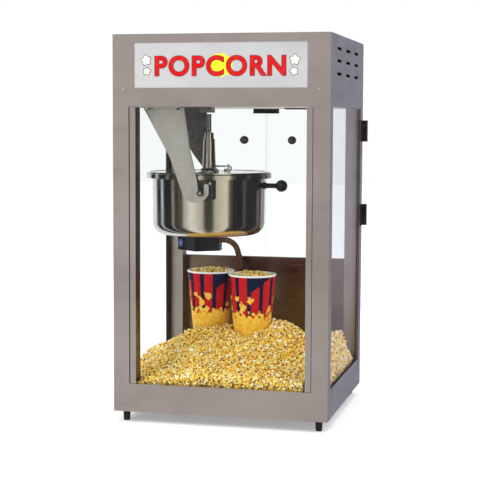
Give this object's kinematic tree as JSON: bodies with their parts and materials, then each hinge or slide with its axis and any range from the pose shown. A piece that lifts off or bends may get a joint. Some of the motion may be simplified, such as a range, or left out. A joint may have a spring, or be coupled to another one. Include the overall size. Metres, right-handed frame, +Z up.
{
  "type": "countertop popcorn machine",
  "caption": "Glazed steel cabinet with a lit sign box, a hanging kettle that tilts to dump popcorn, rear glass doors, a crumb drawer and two filled paper cups.",
  "frame": {"origin": "middle of the machine's box, on the surface that the feet stand on", "axes": "+X to the customer's right, front faces -Y, +Z up"},
  "size_m": [0.629, 0.613, 1.065],
  "materials": {
    "stainless": "brushed, satin",
    "stainless_dark": "brushed, satin",
    "galvanised": "dull spangled zinc",
    "polished_steel": "mirror polished",
    "pan_metal": "spun, satin",
    "cast_dark": "dark cast, rough",
    "motor_metal": "cast, painted grey",
    "black_metal": "satin black",
    "olive_block": "olive grey paint",
    "steel_fastener": "zinc plated",
    "glass": "clear toughened",
    "rubber": "matte",
    "black_plastic": "fine texture",
    "knob_plastic": "polished",
    "sign_acrylic": "pearl silver",
    "lamp_white": "gloss white",
    "rocker_red": "gloss",
    "paper": "printed paper",
    "popcorn": "popped corn"
  },
  "bodies": {
    "cabinet": {"post_front_left": "stainless", "post_front_right": "stainless", "post_rear_left": "stainless", "post_rear_right": "stainless", "ceiling_pan": "stainless", "base_pan": "stainless", "kick_panel": "stainless", "rear_panel": "stainless", "glass_channels": "stainless", "sign_box": "stainless", "control_panel": "stainless", "deck_plate": "stainless", "jamb_strips": "stainless_dark", "feet": "rubber", "foot_screws": "steel_fastener", "glass_front": "glass", "glass_left": "glass", "glass_right": "glass", "glass_seals": "rubber", "box_screws": "steel_fastener", "sign_panel": "sign_acrylic", "sign_lamp": "lamp_white", "switch_bezels": "black_plastic", "power_gland": "black_plastic", "gearmotor": "motor_metal", "bearing_block": "olive_block", "hanger_arm_near": "galvanised", "hanger_arm_far": "galvanised", "hanger_bolts": "steel_fastener", "junction_box": "black_plastic", "conduit": "black_metal", "door_catch": "black_plastic", "hinge_leaves": "black_metal", "popcorn_heap": "popcorn"},
    "drawer": {"crumb_drawer": "stainless"},
    "drive": {"drive_socket": "steel_fastener"},
    "rocker_heat": {"switch_heat": "rocker_red"},
    "rocker_motor": {"switch_motor": "black_plastic"},
    "rocker_light": {"switch_light": "black_plastic"},
    "kettle": {"kettle_shell": "polished_steel", "kettle_pan": "pan_metal", "heating_element": "steel_fastener", "kettle_rim": "polished_steel", "lid_bridge": "stainless", "stirrer_tube": "polished_steel", "trunnions": "cast_dark", "dump_rod": "black_metal", "dump_knob": "knob_plastic"},
    "stirrer_shaft": {"stirrer": "steel_fastener"},
    "flap_left": {"lid_left": "polished_steel"},
    "flap_right": {"lid_right": "polished_steel"},
    "bail": {"lid_bail": "polished_steel"},
    "door_left": {"door_glass_left": "glass", "hinge_clamps_left": "black_metal", "door_knob_left": "knob_plastic"},
    "door_right": {"door_glass_right": "glass", "hinge_clamps_right": "black_metal", "door_knob_right": "knob_plastic"},
    "left_cup": {"cup_left": "paper"},
    "right_cup": {"cup_right": "paper"}
  },
  "joints": [
    {"name": "kettle_tilt", "type": "hinge", "parent": "cabinet", "child": "kettle", "pos_m": [-0.0665, -0.0545, 0.635], "axis": [0, -1, 0], "range_deg": [-90, 0]},
    {"name": "stirrer_turn", "type": "hinge", "parent": "kettle", "child": "stirrer_shaft", "pos_m": [-0.095, -0.0545, 0.63], "axis": [0, 0, 1], "continuous": true},
    {"name": "drive_turn", "type": "hinge", "parent": "cabinet", "child": "drive", "pos_m": [-0.095, -0.0545, 0.865], "axis": [0, 0, 1], "continuous": true},
    {"name": "lid_left_open", "type": "hinge", "parent": "kettle", "child": "flap_left", "pos_m": [-0.122, -0.0545, 0.6899], "axis": [0, 1, 0], "range_deg": [0, 80]},
    {"name": "lid_right_open", "type": "hinge", "parent": "kettle", "child": "flap_right", "pos_m": [-0.068, -0.0545, 0.6899], "axis": [0, -1, 0], "range_deg": [0, 80]},
    {"name": "bail_fold", "type": "hinge", "parent": "flap_right", "child": "bail", "pos_m": [-0.045, -0.0905, 0.6913], "axis": [1, 0, 0], "range_deg": [0, 75]},
    {"name": "door_left_open", "type": "hinge", "parent": "cabinet", "child": "door_left", "pos_m": [-0.307, 0.2775, 0.677], "axis": [0, 0, 1], "range_deg": [0, 110]},
    {"name": "door_right_open", "type": "hinge", "parent": "cabinet", "child": "door_right", "pos_m": [0.307, 0.2775, 0.677], "axis": [0, 0, -1], "range_deg": [0, 110]},
    {"name": "drawer_slide", "type": "slide", "parent": "cabinet", "child": "drawer", "axis": [0, 1, 0], "range_m": [0, 0.25]},
    {"name": "cup_left_lift", "type": "slide", "parent": "cabinet", "child": "left_cup", "axis": [0, 0, 1], "range_m": [0, 0.08]},
    {"name": "cup_right_lift", "type": "slide", "parent": "cabinet", "child": "right_cup", "axis": [0, 0, 1], "range_m": [0, 0.08]},
    {"name": "switch_heat_press", "type": "hinge", "parent": "cabinet", "child": "rocker_heat", "pos_m": [0.06, 0.2725, 0.98], "axis": [-1, 0, 0], "range_deg": [0, 18]},
    {"name": "switch_motor_press", "type": "hinge", "parent": "cabinet", "child": "rocker_motor", "pos_m": [0.11, 0.2725, 0.98], "axis": [-1, 0, 0], "range_deg": [0, 18]},
    {"name": "switch_light_press", "type": "hinge", "parent": "cabinet", "child": "rocker_light", "pos_m": [0.16, 0.2725, 0.98], "axis": [-1, 0, 0], "range_deg": [0, 18]}
  ],
  "couplings": [
    {"joint": "drive_turn", "follows": "stirrer_turn", "ratio": 1}
  ]
}
